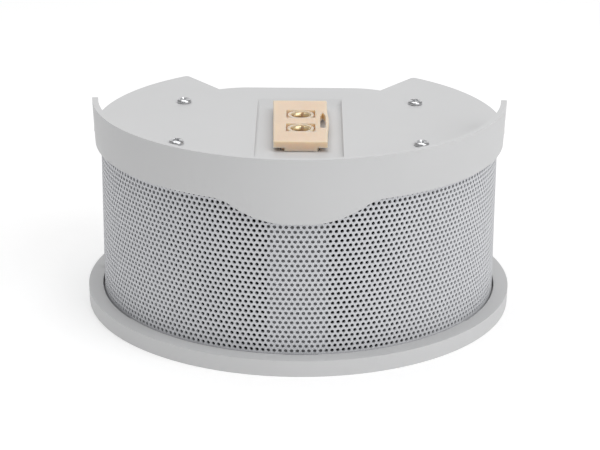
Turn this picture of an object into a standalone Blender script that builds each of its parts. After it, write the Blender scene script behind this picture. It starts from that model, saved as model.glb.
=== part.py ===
"""Alarm siren: a half-drum sounder with a perforated grille, two sound drivers and a plug-in
power connector on top.

Origin on the drum's axis at the underside of the base, -Y towards the front, +Z up. Angles are
measured round the axis from the front, positive towards +X."""

import math

import bmesh
import bpy
from mathutils import Matrix, Vector

MM = 0.001
GAP = 0.3 * MM              # between pieces that touch
SEAT = 0.2 * MM             # under the heads of the screws

# Plan of the drum: a disc with a notch at the rear between two wings.
BASE_RADIUS = 80.0 * MM
CAP_RADIUS = 76.4 * MM
GRILLE_RADIUS = 73.9 * MM
NOTCH_ANGLE = 143.8         # a wing's straight edge, on a radial line
NOTCH_BACK_Y = 45.9 * MM    # the flat at the bottom of the notch
NOTCH_FLAT = 20.0 * MM      # half its width
NOTCH_BEND = 25.0 * MM      # radius that leads from the flat to the wing

# Heights.
BASE_TOP = 6.1 * MM
FLOOR_TOP = 2.5 * MM
WALL_LOW = BASE_TOP + GAP
WALL_TOP = 63.9 * MM
SEAL_TOP = 65.3 * MM
PLATE_LOW = 65.6 * MM
PLATE_TOP = 67.85 * MM
LIP_TOP = 79.1 * MM
SKIRT_LOW = 63.0 * MM
SCALLOP_LOW = 55.15 * MM

# Shells.
CAP_DRAFT = 0.05            # how fast the cap's wall opens upwards, from its own radius
CAP_DRAFT_LEVEL = 69.3 * MM
BASE_DRAFT = 0.026
LIP_THICK = 2.2 * MM
LIP_END = 85.7              # angle at which the upstanding lip stops
SKIRT_INSIDE = 74.6 * MM
PAD_HALF, PAD_Y, PAD_LOW = 20.0 * MM, (-62.0 * MM, 34.0 * MM), 64.1 * MM  # under the channel
SHEET = 0.8 * MM
GRILLE_END = 123.5
BASE_HOLLOW = (70.3 * MM, 3.0 * MM)   # its radius, and its distance from the notch's edges
DRAIN_RADIUS = 74.6 * MM    # outer edge of the slots at the foot of the grille
DRAIN_WIDTH = 3.0 * MM
DRAIN_DEPTH = 3.0 * MM
DRAIN_ENDS = (55.5, 120.0)
FRONT_NOTCH = (1.2 * MM, 1.5 * MM, -3.8, 5.6)  # width, depth and ends of the notch in front
GROOVE_DEPTH = 2.0 * MM     # the grille stands in it
CLOTH_RADIUS = 72.8 * MM
CLOTH_START, CLOTH_END = 8.6, 121.0
CLOTH_THICK = 0.4 * MM
PILLAR_RADIUS = 72.5 * MM
PILLAR_THICK = 2.0 * MM
PILLAR_END = 7.8
CHEEK = ((24.2 * MM, -61.2 * MM), (22.8 * MM, -59.7 * MM))  # end of a cheek, out and in
HOUSING_WALL = 2.0 * MM
HOUSING_START = 124.5
HOUSING_INSET = 2.5 * MM    # of the housing's wall from the notch's edges
RIB_FOOT = (32.6 * MM, 38.2 * MM)
RIB_HALF = 1.0 * MM
GUIDE_X, GUIDE_Y, GUIDE_TOP = (24.5 * MM, 28.0 * MM), (31.0 * MM, 41.5 * MM), 56.0 * MM
SLOT_HALF, SLOT_Y, SLOT_LOW = 26.5 * MM, (32.6 * MM, 34.8 * MM), 9.7 * MM
PILOT_TOP, PILOT_BOTTOM = (55.0 * MM, 70.0 * MM), (1.0 * MM, 14.0 * MM)
SEAL_INSET, SEAL_WIDTH = 2.8 * MM, 2.0 * MM

# The scallop in the skirt: a flat, a belly and a shoulder on each side.
SCALLOP_FLAT = 2.8 * MM
SCALLOP_BELLY = 39.0 * MM
SCALLOP_SHOULDER = 12.6 * MM
SCALLOP_SLOPE = 32.0

# The channel in the seat and the connector in it.
CHANNEL_HALF = 16.1 * MM
CHANNEL_FRONT = -71.5 * MM
CHANNEL_BACK = 28.0 * MM    # from here the floor slopes up to the plate
CHANNEL_SLOPE = math.radians(30.0)
CHANNEL_FLOOR = 66.2 * MM
PLUG_X = 0.35 * MM
HEAD_HALF = 10.05 * MM
HEAD_LEAN = 0.4 * MM         # its left side is further out at the rear by twice this
HEAD_FRONT = -29.4 * MM
HEAD_BACK = 21.0 * MM
HEAD_LOW = 67.76 * MM
HEAD_TOP = 70.28 * MM
PLUG_BODY_HALF = 6.9 * MM
PLUG_BODY_Y = (-27.0 * MM, 18.4 * MM)
PLUG_BODY_LOW = 58.6 * MM
TONGUE_LOW = 66.4 * MM
SOCKET_X = PLUG_X + 0.15 * MM
SOCKET_Y = {"rear": 3.8 * MM, "front": -12.8 * MM}
SOCKET_BORE = 3.9 * MM
SOCKET_FLOOR = 60.5 * MM
POCKET_HALF = (5.4 * MM, 4.75 * MM)
POCKET_DEPTH = 2.2 * MM
COLLAR_RADIUS = 4.9 * MM
COLLAR_DEPTH = 0.25 * MM    # its top below the head's
TAIL_HOLE = 1.4 * MM
FINGER_TURN = math.radians(-12.0)
LATCH_X = PLUG_X + 8.4 * MM
LATCH_HALF = 1.0 * MM       # half the slot's width
LATCH_Y = (-12.2 * MM, 1.5 * MM, 5.6 * MM)  # centre of its round end, shoulder, point
LATCH_BULGE = 0.6 * MM
BULGE_Y = (-16.1 * MM, 6.1 * MM)
TONGUE_X = (-5.25 * MM, 6.65 * MM)
CONTACT_RADIUS = 3.55 * MM
CONTACT_BORE = 3.05 * MM
TAIL_LOW = 53.5 * MM
RETAINER_X, RETAINER_Y = (-10.0 * MM, 10.7 * MM), (-28.5 * MM, 20.0 * MM)
RETAINER_TOP = PLUG_BODY_LOW - GAP
RETAINER_THICK = 1.7 * MM

# Screw places: cap screws above, base screws below the same posts.
POST_LOW = 5.8 * MM         # foot of a post, on the base's boss
BASE_SEAT = 2.6 * MM        # seat of a base screw's head, from below
POST = 4.0 * MM
BOSS = 3.7 * MM
HEAD_HOLE = 3.1 * MM
POST_REAR = (44.4 * MM, 25.3 * MM)
POST_FRONT = (44.5 * MM, -25.5 * MM)
SCREW_HEAD = 2.75 * MM
SCREW_HEIGHT = 1.4 * MM
SCREW_LENGTH = 10.0 * MM
SHANK = 1.4 * MM
PILOT = 1.7 * MM
CLEAR_HOLE = 1.8 * MM

# The two drivers behind the grille.
DRIVER_ANGLE = 48.0
DRIVER_REACH = 58.0 * MM    # axis of the drum to the front of the baffle
DRIVER_Z = 35.0 * MM
BOARD = 3.0 * MM             # thickness of a baffle
BAFFLE_HALF = 27.0 * MM
CUTOUT = 22.35 * MM          # radius of the hole the basket sits in
TAP = 1.5 * MM
FLANGE_HALF, FLANGE_CORNER, FLANGE_THICK = 25.5 * MM, 4.0 * MM, 1.5 * MM
BASKET_MOUTH = 20.9 * MM
DRIVER_SCREW = 21.0 * MM     # of a screw from the driver's axis, each way
WEB_HALF = 2.5 * MM          # a web joins a baffle to the bosses of its front post
WEB_DEPTH = (-7.0 * MM, -2.0 * MM)
BOSS_TOP_FOOT, BOSS_BOTTOM_HEAD = 57.5 * MM, 14.0 * MM
POLE, WASHER_BORE, MAGNET_BORE = 6.2 * MM, 7.4 * MM, 9.0 * MM
WASHER, MAGNET = 16.5 * MM, 17.5 * MM
ROLL_RADIUS, ROLL_HEIGHT = 20.75 * MM, 1.8 * MM
ROLL_IN, ROLL_OUT = 1.55 * MM, 1.95 * MM
SPIDER_Z, SPIDER_THICK, SPIDER_WAVE = -9.0 * MM, 0.45 * MM, 0.6 * MM

# Electronics.
BOARD_FRONT = 32.9 * MM
BOARD_THICK = 1.6 * MM
BOARD_HALF, BOARD_Z = 26.2 * MM, (10.0 * MM, 54.0 * MM)
CHIP_HALF, CHIP_THICK, CHIP_Z = 6.0 * MM, 2.0 * MM, (20.0 * MM, 32.0 * MM)
HEADER_HALF, HEADER_FRONT, HEADER_Z = 14.0 * MM, 26.0 * MM, (40.0 * MM, 47.0 * MM)
LEAD, DRIVER_LEAD = 0.9 * MM, 1.1 * MM

SIDES = {"left": -1, "right": 1}


# ---------------------------------------------------------------- scene, colours

def clear_scene():
    for item in list(bpy.data.objects):
        bpy.data.objects.remove(item, do_unlink=True)


def new_collection(name):
    collection = bpy.data.collections.new(name)
    bpy.context.scene.collection.children.link(collection)
    return collection


def material(name, colour, roughness, metallic=0.0):
    made = bpy.data.materials.new(name)
    made.use_nodes = True
    shader = made.node_tree.nodes["Principled BSDF"]
    shader.inputs["Base Color"].default_value = (*colour, 1.0)
    shader.inputs["Roughness"].default_value = roughness
    shader.inputs["Metallic"].default_value = metallic
    return made


clear_scene()
SIREN = new_collection("alarm_siren")
CUTTERS = new_collection("cutters")
GREY_PLASTIC = material("grey_plastic", (0.60, 0.60, 0.61), 0.55)
PALE_PLASTIC = material("pale_plastic", (0.55, 0.55, 0.57), 0.6)
GREY_SHEET = material("grey_sheet", (0.55, 0.56, 0.59), 0.5, 0.2)
BEIGE_PLASTIC = material("beige_plastic", (0.72, 0.58, 0.44), 0.5)
BLACK_PLASTIC = material("black_plastic", (0.03, 0.03, 0.03), 0.6)
BLACK_CLOTH = material("black_cloth", (0.015, 0.015, 0.015), 0.95)
RUBBER = material("rubber", (0.04, 0.04, 0.04), 0.8)
PAPER = material("paper", (0.05, 0.05, 0.05), 0.85)
SPIDER_CLOTH = material("spider_cloth", (0.45, 0.28, 0.10), 0.9)
GOLD = material("gold", (0.85, 0.60, 0.25), 0.25, 1.0)
STEEL = material("steel", (0.60, 0.60, 0.62), 0.3, 1.0)
COPPER = material("copper", (0.75, 0.35, 0.18), 0.35, 1.0)
FERRITE = material("ferrite", (0.06, 0.06, 0.065), 0.7)
BOARD_GREEN = material("board_green", (0.02, 0.14, 0.06), 0.45)
RED_LEAD = material("red_lead", (0.45, 0.02, 0.02), 0.45)
BLACK_LEAD = material("black_lead", (0.02, 0.02, 0.02), 0.45)


# ---------------------------------------------------------------- shapes

def finish(item, paint, parent=None):
    """Put an object in the siren, or among the cutters where it has no colour."""
    if paint is None:
        CUTTERS.objects.link(item)
        item.hide_render = True
        item.display_type = "WIRE"
    else:
        SIREN.objects.link(item)
        item.data.materials.append(paint)
    item.parent = parent
    return item


def mesh_from_curve(curve_item):
    """The evaluated mesh of a curve object, its caps welded on; the curve is removed."""
    bpy.context.scene.collection.objects.link(curve_item)
    graph = bpy.context.evaluated_depsgraph_get()
    mesh = bpy.data.meshes.new_from_object(curve_item.evaluated_get(graph))
    mesh.transform(curve_item.matrix_world)
    bpy.data.objects.remove(curve_item, do_unlink=True)
    work = bmesh.new()
    work.from_mesh(mesh)
    bmesh.ops.remove_doubles(work, verts=work.verts, dist=0.001 * MM)
    bmesh.ops.recalc_face_normals(work, faces=work.faces)
    work.to_mesh(mesh)
    work.free()
    return mesh


def flat(name, outlines, low, high, paint=None, parent=None):
    """Closed outlines in XY, the later ones holes, as a solid from low to high."""
    curve = bpy.data.curves.new(name + "_outline", "CURVE")
    curve.dimensions = "2D"
    curve.fill_mode = "BOTH"
    curve.extrude = (high - low) / 2
    for points in outlines:
        spline = curve.splines.new("POLY")
        spline.points.add(len(points) - 1)
        for point, (x, y) in zip(spline.points, points):
            point.co = (x, y, 0.0, 1.0)
        spline.use_cyclic_u = True
    item = bpy.data.objects.new(name + "_outline", curve)
    item.matrix_world = Matrix.Translation((0.0, 0.0, (low + high) / 2))
    mesh = mesh_from_curve(item)
    mesh.name = name
    return finish(bpy.data.objects.new(name, mesh), paint, parent)


def turned(name, profile, steps, paint=None, parent=None, closed=False):
    """A profile of (radius, height) points turned about Z; closed where it leaves a bore."""
    mesh = bpy.data.meshes.new(name)
    edges = [(i, i + 1) for i in range(len(profile) - 1)]
    if closed:
        edges.append((len(profile) - 1, 0))
    mesh.from_pydata([(r, 0.0, z) for r, z in profile], edges, [])
    item = bpy.data.objects.new(name, mesh)
    screw = item.modifiers.new("turn", "SCREW")
    screw.steps = screw.render_steps = steps
    screw.use_merge_vertices = True
    screw.merge_threshold = 0.01 * MM
    screw.use_smooth_shade = True
    return finish(item, paint, parent)


def ring(name, outer, inner, low, high, steps, paint=None, parent=None):
    profile = [(outer, high), (outer, low), (inner, low), (inner, high)]
    return turned(name, profile, steps, paint, parent, closed=True)


def rod(name, radius, low, high, steps, paint=None, parent=None, at=(0.0, 0.0)):
    work = bmesh.new()
    bmesh.ops.create_cone(work, cap_ends=True, segments=steps, radius1=radius, radius2=radius,
                          depth=high - low)
    bmesh.ops.translate(work, verts=work.verts, vec=(at[0], at[1], (low + high) / 2))
    mesh = bpy.data.meshes.new(name)
    work.to_mesh(mesh)
    work.free()
    return finish(bpy.data.objects.new(name, mesh), paint, parent)


def box(name, corner, opposite, paint=None, parent=None):
    work = bmesh.new()
    bmesh.ops.create_cube(work, size=1.0)
    low = Vector(map(min, corner, opposite))
    high = Vector(map(max, corner, opposite))
    bmesh.ops.scale(work, verts=work.verts, vec=high - low)
    bmesh.ops.translate(work, verts=work.verts, vec=(low + high) / 2)
    mesh = bpy.data.meshes.new(name)
    work.to_mesh(mesh)
    work.free()
    return finish(bpy.data.objects.new(name, mesh), paint, parent)


def tube(name, points, radius, paint):
    """A lead: a smooth run through the route's points."""
    curve = bpy.data.curves.new(name, "CURVE")
    curve.dimensions = "3D"
    curve.bevel_depth = radius
    curve.bevel_resolution = 2
    curve.use_fill_caps = True
    route = smooth_route([Vector(p) for p in points])
    spline = curve.splines.new("POLY")
    spline.points.add(len(route) - 1)
    for point, place in zip(spline.points, route):
        point.co = (*place, 1.0)
    return finish(bpy.data.objects.new(name, curve), paint)


def smooth_route(points, per_span=3):
    """Catmull-Rom points through the given ones."""
    ends = [points[0] * 2 - points[1], *points, points[-1] * 2 - points[-2]]
    route = []
    for i in range(1, len(ends) - 2):
        a, b, c, d = ends[i - 1:i + 3]
        for step in range(per_span):
            t = step / per_span
            route.append(0.5 * (2 * b + (c - a) * t + (2 * a - 5 * b + 4 * c - d) * t ** 2
                                + (3 * b - a - 3 * c + d) * t ** 3))
    return route + [points[-1]]


def combine(item, other, operation="DIFFERENCE"):
    step = item.modifiers.new(operation.lower(), "BOOLEAN")
    step.operation = operation
    step.solver = "EXACT"
    step.object = other
    return item


def bevel(item, width, segments=2, angle=50.0):
    step = item.modifiers.new("edges", "BEVEL")
    step.width = width
    step.segments = segments
    step.limit_method = "ANGLE"
    step.angle_limit = math.radians(angle)
    return item


def draft(item, slope, level, radius):
    """Open a round wall outwards with height: it keeps its radius at the level."""
    for vertex in item.data.vertices:
        if vertex.co.xy.length > 0.9 * radius:
            share = 1.0 + slope * (vertex.co.z - level) / radius
            vertex.co.x *= share
            vertex.co.y *= share
    return item


def smooth(item, angle=35.0):
    item.data.shade_smooth()
    item.data.set_sharp_from_angle(angle=math.radians(angle))
    return item


# ---------------------------------------------------------------- outlines

END_STEP = 45.0             # degrees between points round the end of a slot


def polar(radius, degrees, centre=(0.0, 0.0)):
    angle = math.radians(degrees)
    return centre[0] + radius * math.sin(angle), centre[1] - radius * math.cos(angle)


def arc(radius, start, end, step=6.0, centre=(0.0, 0.0)):
    count = max(1, math.ceil(abs(end - start) / step))
    return [polar(radius, start + (end - start) * i / count, centre) for i in range(count + 1)]


def wing_path(radius, inset, start):
    """The right half of the drum's plan from an angle round to the notch's flat, inset inside
    the notch's edges."""
    edge = Vector(polar(1.0, NOTCH_ANGLE))
    inward = Vector((edge.y, -edge.x))
    foot = inward * inset
    bend = Vector((NOTCH_FLAT, NOTCH_BACK_Y - NOTCH_BEND))
    bend_radius = NOTCH_BEND - inset
    reach = edge.dot(bend)
    inner = reach + math.sqrt(reach ** 2 - (foot - bend).length_squared + bend_radius ** 2)
    corner = foot + edge * math.sqrt(radius ** 2 - inset ** 2)
    root = foot + edge * inner
    end = math.degrees(math.atan2(corner.x, -corner.y))
    root_angle = math.degrees(math.atan2(root.x - bend.x, bend.y - root.y))
    return arc(radius, start, end) + arc(bend_radius, root_angle, 180.0, 15.0, tuple(bend))


def mirrored(points):
    return [(-x, y) for x, y in reversed(points)]


def drum_outline(radius, inset):
    half = wing_path(radius, inset, 0.0)
    return half + mirrored(half)[:-1]


def strip(radius, thick, start, end):
    """Outline of a curved wall between two angles, with its outer face at radius."""
    return arc(radius, start, end) + arc(radius - thick, end, start)


def rounded_strip(radius, inner, start, end):
    """A curved slot with round ends."""
    middle, half = (radius + inner) / 2, (radius - inner) / 2
    far = arc(half, end, end + 180.0, END_STEP, polar(middle, end))
    near = arc(half, start + 180.0, start + 360.0, END_STEP, polar(middle, start))
    return arc(radius, start, end) + far[1:-1] + arc(inner, end, start) + near[1:-1]


def rounded_rectangle(half_x, half_y, radius, centre=(0.0, 0.0)):
    points = []
    for turn, (sx, sy) in zip((90.0, 180.0, 270.0, 0.0), ((1, -1), (1, 1), (-1, 1), (-1, -1))):
        corner = (centre[0] + sx * (half_x - radius), centre[1] + sy * (half_y - radius))
        points += arc(radius, turn - 90.0, turn, 30.0, corner)
    return points


def scallop_outline():
    """Front elevation of the skirt's hanging scallop, up past the skirt's edge."""
    slope = math.radians(SCALLOP_SLOPE)
    half = [(SCALLOP_FLAT, SCALLOP_LOW)]
    for i in range(1, 7):
        t = slope * i / 6
        half.append((SCALLOP_FLAT + SCALLOP_BELLY * math.sin(t),
                     SCALLOP_LOW + SCALLOP_BELLY * (1 - math.cos(t))))
    x, z = half[-1]
    for i in range(1, 5):
        t = slope * (1 - i / 4)
        half.append((x + SCALLOP_SHOULDER * (math.sin(slope) - math.sin(t)),
                     z + SCALLOP_SHOULDER * (math.cos(t) - math.cos(slope))))
    half.append((half[-1][0], SKIRT_LOW + 2 * MM))
    return half + mirrored(half)


# ---------------------------------------------------------------- screws

def pan_screw(name, head, height, shank, length, matrix, steps, paint=STEEL):
    """A pan head screw with a cross recess; its seat is at z = 0 and it points down."""
    profile = [(0.0, height), (0.6 * head, height), (0.92 * head, 0.6 * height), (head, 0.0),
               (shank, 0.0), (shank, shank - length), (0.3 * shank, -length), (0.0, -length)]
    screw = turned(name, profile, steps, paint)
    arm, half = 0.55 * head, 0.13 * head
    low, high = 0.35 * height, 2.0 * height
    cross = box(name + "_cross", (-arm, -half, low), (arm, half, high))
    combine(cross, box(name + "_cross_2", (-half, -arm, low), (half, arm, high)), "UNION")
    combine(screw, cross)
    for item in (screw, cross, bpy.data.objects[name + "_cross_2"]):
        item.matrix_world = matrix
    return screw


def corners():
    """Name, place and side of the four posts."""
    for side, sign in SIDES.items():
        yield "rear_" + side, (sign * POST_REAR[0], POST_REAR[1])
        yield "front_" + side, (sign * POST_FRONT[0], POST_FRONT[1])


def post_screws():
    upside_down = Matrix.Rotation(math.pi, 4, "X")
    for place, (x, y) in corners():
        above = Matrix.Translation((x, y, PLATE_TOP + SEAT))
        pan_screw("cap_screw_" + place, SCREW_HEAD, SCREW_HEIGHT, SHANK, SCREW_LENGTH, above, 16)
        below = Matrix.Translation((x, y, BASE_SEAT - SEAT)) @ upside_down
        pan_screw("base_screw_" + place, SCREW_HEAD, SCREW_HEIGHT, SHANK, SCREW_LENGTH, below, 10)


# ---------------------------------------------------------------- shells

def base_plate():
    plate = flat("base_plate", [drum_outline(BASE_RADIUS, 0.0)], 0.0, BASE_TOP, GREY_PLASTIC)
    draft(plate, BASE_DRAFT, BASE_TOP, BASE_RADIUS)
    bevel(plate, 0.6 * MM, 1)
    above = BASE_TOP + 3 * MM
    pocket = flat("base_pocket", [drum_outline(*BASE_HOLLOW)], FLOOR_TOP, above)
    combine(plate, pocket)
    for place, at in corners():
        boss = rod("base_boss_" + place, BOSS, 1 * MM, POST_LOW - GAP, 12, at=at)
        hole = rod("base_hole_" + place, CLEAR_HOLE, -1 * MM, above, 10, at=at)
        head = rod("base_head_" + place, HEAD_HOLE, -1 * MM, BASE_SEAT, 12, at=at)
        for step, other in (("UNION", boss), ("DIFFERENCE", hole), ("DIFFERENCE", head)):
            combine(plate, other, step)
    groove = strip(GRILLE_RADIUS + GAP, SHEET + 2 * GAP, -GRILLE_END - 1, GRILLE_END + 1)
    combine(plate, flat("base_groove", [groove], BASE_TOP - GROOVE_DEPTH, above))
    for side, sign in SIDES.items():
        slot = rounded_strip(DRAIN_RADIUS, DRAIN_RADIUS - DRAIN_WIDTH, *DRAIN_ENDS)
        if sign < 0:
            slot = mirrored(slot)
        combine(plate, flat("drain_slot_" + side, [slot], BASE_TOP - DRAIN_DEPTH, above))
    width, depth, start, end = FRONT_NOTCH
    notch = strip(DRAIN_RADIUS, width, start, end)
    combine(plate, flat("front_notch", [notch], BASE_TOP - depth, above))
    return smooth(plate)


def grille():
    sheet = strip(GRILLE_RADIUS, SHEET, -GRILLE_END, GRILLE_END)
    return smooth(flat("grille", [sheet], BASE_TOP - GROOVE_DEPTH + GAP, SEAL_TOP, GREY_SHEET))


def acoustic_cloths():
    for side, sign in SIDES.items():
        cloth = strip(CLOTH_RADIUS, CLOTH_THICK, CLOTH_START, CLOTH_END)
        if sign < 0:
            cloth = mirrored(cloth)
        smooth(flat("acoustic_cloth_" + side, [cloth], WALL_LOW, WALL_TOP, BLACK_CLOTH))


def front_pillar():
    """A channel behind the middle of the grille, its cheeks running back to the baffles."""
    front = arc(PILLAR_RADIUS, -PILLAR_END, PILLAR_END)
    inner_end = PILLAR_END - 0.8
    back = arc(PILLAR_RADIUS - PILLAR_THICK, inner_end, -inner_end)
    outline = [*front, *CHEEK, *back, *mirrored(CHEEK)]
    return smooth(flat("front_pillar", [outline], WALL_LOW, WALL_TOP, PALE_PLASTIC))


def rear_housing():
    outer = wing_path(GRILLE_RADIUS, HOUSING_INSET, HOUSING_START)
    inner = wing_path(GRILLE_RADIUS - HOUSING_WALL, HOUSING_INSET + HOUSING_WALL, HOUSING_START)
    outline = outer + mirrored(outer) + list(reversed(mirrored(inner))) + list(reversed(inner))
    wall = flat("rear_housing", [outline], WALL_LOW, WALL_TOP, GREY_PLASTIC)
    for side, sign in SIDES.items():
        at = (sign * POST_REAR[0], POST_REAR[1])
        post = rod("housing_post_" + side, POST, POST_LOW, SEAL_TOP, 16, at=at)
        rib = post_rib("housing_rib_" + side, Vector(at),
                       Vector((sign * RIB_FOOT[0], RIB_FOOT[1])))
        guide = box("board_guide_" + side, (sign * GUIDE_X[0], GUIDE_Y[0], WALL_LOW + 1 * MM),
                    (sign * GUIDE_X[1], GUIDE_Y[1], GUIDE_TOP))
        for other in (rib, guide, post):
            combine(wall, other, "UNION")
        for end, span in (("top", PILOT_TOP), ("bottom", PILOT_BOTTOM)):
            combine(wall, rod(f"housing_pilot_{side}_{end}", PILOT, *span, 12, at=at))
    combine(wall, box("board_slot", (-SLOT_HALF, SLOT_Y[0], SLOT_LOW),
                      (SLOT_HALF, SLOT_Y[1], 70 * MM)))
    return smooth(wall)


def post_rib(name, start, end):
    """A rib of the wall's height from a post to the wall."""
    along = end - start
    rib = box(name, (0.0, -RIB_HALF, WALL_LOW), (along.length, RIB_HALF, WALL_TOP - 0.5 * MM))
    rib.matrix_world = (Matrix.Translation((start.x, start.y, 0.0))
                        @ Matrix.Rotation(math.atan2(along.y, along.x), 4, "Z"))
    return rib


def cap_seal():
    outlines = [drum_outline(CLOTH_RADIUS, SEAL_INSET),
                drum_outline(CLOTH_RADIUS - SEAL_WIDTH, SEAL_INSET + SEAL_WIDTH)]
    return smooth(flat("cap_seal", outlines, WALL_TOP + GAP, SEAL_TOP, RUBBER))


def top_cap():
    cap = flat("top_cap", [drum_outline(CAP_RADIUS, 0.0)], SCALLOP_LOW - 2 * MM, LIP_TOP,
               GREY_PLASTIC)
    draft(cap, CAP_DRAFT, CAP_DRAFT_LEVEL, CAP_RADIUS)
    bevel(cap, 0.8 * MM, 2)
    inside = CAP_RADIUS - LIP_THICK
    under = flat("cap_under", [drum_outline(SKIRT_INSIDE, LIP_THICK)], 40 * MM, PLATE_LOW)
    pad = box("cap_pad", (-PAD_HALF, PAD_Y[0], PAD_LOW), (PAD_HALF, PAD_Y[1], 70 * MM))
    combine(cap, combine(under, pad))
    far = 95 * MM
    above = [*arc(inside, -LIP_END, LIP_END), polar(far, LIP_END), (far, far), (-far, far),
             polar(far, -LIP_END)]
    above = flat("cap_above", [above], PLATE_TOP, 90 * MM)
    combine(cap, draft(above, CAP_DRAFT, CAP_DRAFT_LEVEL, CAP_RADIUS))
    band = flat("skirt_trim", [arc(far, 0.0, 355.0, 5.0)], 40 * MM, SKIRT_LOW)
    tongue = flat("scallop", [scallop_outline()], 50 * MM, far + 5 * MM)
    tongue.rotation_euler.x = math.pi / 2
    combine(cap, combine(band, tongue))
    combine(cap, channel())
    combine(cap, box("cap_opening", (PLUG_X - PLUG_BODY_HALF - GAP, PLUG_BODY_Y[0] - GAP, 50 * MM),
                     (PLUG_X + PLUG_BODY_HALF + GAP, PLUG_BODY_Y[1] + GAP, 70 * MM)))
    for place, at in corners():
        combine(cap, rod("cap_hole_" + place, CLEAR_HOLE, 60 * MM, 70 * MM, 12, at=at))
    return smooth(cap)


def channel():
    """The channel's cutter; at the rear its floor slopes up to the plate."""
    high = 70 * MM
    run = (high - CHANNEL_FLOOR) / math.tan(CHANNEL_SLOPE)
    cutter = box("cap_channel", (-CHANNEL_HALF, CHANNEL_FRONT, CHANNEL_FLOOR),
                 (CHANNEL_HALF, CHANNEL_BACK, high))
    for vertex in cutter.data.vertices:
        if vertex.co.y > 0.0 and vertex.co.z > PLATE_TOP:
            vertex.co.y += run
    return cutter


# ---------------------------------------------------------------- connector

def connector_head():
    """Plan of the connector's head: a rectangle whose right side bulges at the snap latch."""
    left, right = PLUG_X - HEAD_HALF, PLUG_X + HEAD_HALF
    start, end = BULGE_Y
    bulge = [(right + LATCH_BULGE * math.sin(math.pi * i / 6), start + (end - start) * i / 6)
             for i in range(7)]
    return [(left + HEAD_LEAN, HEAD_FRONT), (right, HEAD_FRONT), *bulge, (right, HEAD_BACK),
            (left - HEAD_LEAN, HEAD_BACK)]


def latch_slot():
    """A slot with a round front end and a pointed rear end, which frees the latch's arm."""
    front, shoulder, point = LATCH_Y
    right = [(LATCH_X + LATCH_HALF, shoulder), (LATCH_X + 0.1 * MM, point)]
    left = [(LATCH_X - 0.1 * MM, point), (LATCH_X - LATCH_HALF, shoulder)]
    return [*arc(LATCH_HALF, -90.0, 90.0, 30.0, (LATCH_X, front)), *right, *left]


def connector():
    head = flat("connector_housing", [connector_head()], HEAD_LOW, HEAD_TOP, BEIGE_PLASTIC)
    body = box("plug_body", (PLUG_X - PLUG_BODY_HALF, PLUG_BODY_Y[0], PLUG_BODY_LOW),
               (PLUG_X + PLUG_BODY_HALF, PLUG_BODY_Y[1], HEAD_LOW + 0.5 * MM))
    tongue = box("plug_tongue", (TONGUE_X[0], HEAD_FRONT + 0.02 * MM, TONGUE_LOW),
                 (TONGUE_X[1], PLUG_BODY_Y[0] + 1 * MM, HEAD_LOW + 0.9 * MM))
    combine(combine(head, body, "UNION"), tongue, "UNION")
    above = HEAD_TOP + 5 * MM
    combine(head, flat("latch_slot", [latch_slot()], 60 * MM, above))
    for place, y in SOCKET_Y.items():
        at = (SOCKET_X, y)
        across, along = POCKET_HALF
        pocket = box("pocket_" + place, (SOCKET_X - across, y - along, HEAD_TOP - POCKET_DEPTH),
                     (SOCKET_X + across, y + along, above))
        collar = ring("collar_" + place, COLLAR_RADIUS, SOCKET_BORE - 0.6 * MM,
                      HEAD_TOP - POCKET_DEPTH - 1 * MM, HEAD_TOP - COLLAR_DEPTH, 24)
        collar.location = (SOCKET_X, y, 0.0)
        combine(head, combine(pocket, collar))
        combine(head, rod("bore_" + place, SOCKET_BORE, SOCKET_FLOOR, above, 24, at=at))
        combine(head, rod("tail_hole_" + place, TAIL_HOLE, 50 * MM, above, 12, at=at))
        socket_contact("contact_" + place, *at)
    smooth(head)
    low, high = RETAINER_TOP - RETAINER_THICK, RETAINER_TOP
    retainer = box("connector_retainer", (RETAINER_X[0], RETAINER_Y[0], low),
                   (RETAINER_X[1], RETAINER_Y[1], high), BLACK_PLASTIC)
    bevel(retainer, 0.5 * MM, 1)
    for place, y in SOCKET_Y.items():
        combine(retainer, rod("retainer_hole_" + place, TAIL_HOLE, 50 * MM, above, 12,
                              at=(SOCKET_X, y)))


def socket_contact(name, x, y):
    """A gold barrel split into four fingers, with a tail for its lead."""
    low, foot = SOCKET_FLOOR + 0.5 * MM, SOCKET_FLOOR + 1.7 * MM
    top, tail = HEAD_TOP - 0.6 * MM, TAIL_HOLE - GAP
    profile = [(0.0, foot), (CONTACT_BORE, foot), (CONTACT_BORE, top - 0.3 * MM),
               (CONTACT_BORE + 0.2 * MM, top), (CONTACT_RADIUS, top - 0.2 * MM),
               (CONTACT_RADIUS, low), (tail, low), (tail, TAIL_LOW), (0.0, TAIL_LOW)]
    barrel = turned(name, profile, 24, GOLD)
    barrel.location = (x, y, 0.0)
    half, reach = 0.45 * MM, 2 * CONTACT_RADIUS
    for i in range(2):
        slot = box(f"{name}_slot_{i}", (-reach, -half, foot + 1 * MM), (reach, half, HEAD_TOP))
        slot.location = (x, y, 0.0)
        slot.rotation_euler.z = FINGER_TURN + i * math.pi / 2
        combine(barrel, slot)


# ---------------------------------------------------------------- drivers

def driver_frame(side, sign):
    """An empty on the driver's axis at the front of its baffle, +Z along the axis outwards."""
    frame = bpy.data.objects.new("driver_axis_" + side, None)
    SIREN.objects.link(frame)
    angle = math.radians(sign * DRIVER_ANGLE)
    across = Vector((math.cos(angle), math.sin(angle), 0.0))
    outward = Vector((math.sin(angle), -math.cos(angle), 0.0))
    turn = Matrix((across, (0.0, 0.0, 1.0), outward)).transposed().to_4x4()
    frame.matrix_world = Matrix.Translation(outward * DRIVER_REACH
                                            + Vector((0.0, 0.0, DRIVER_Z))) @ turn
    return frame


def flange_corners():
    return [(sx * DRIVER_SCREW, sy * DRIVER_SCREW) for sx in (-1, 1) for sy in (-1, 1)]


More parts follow.
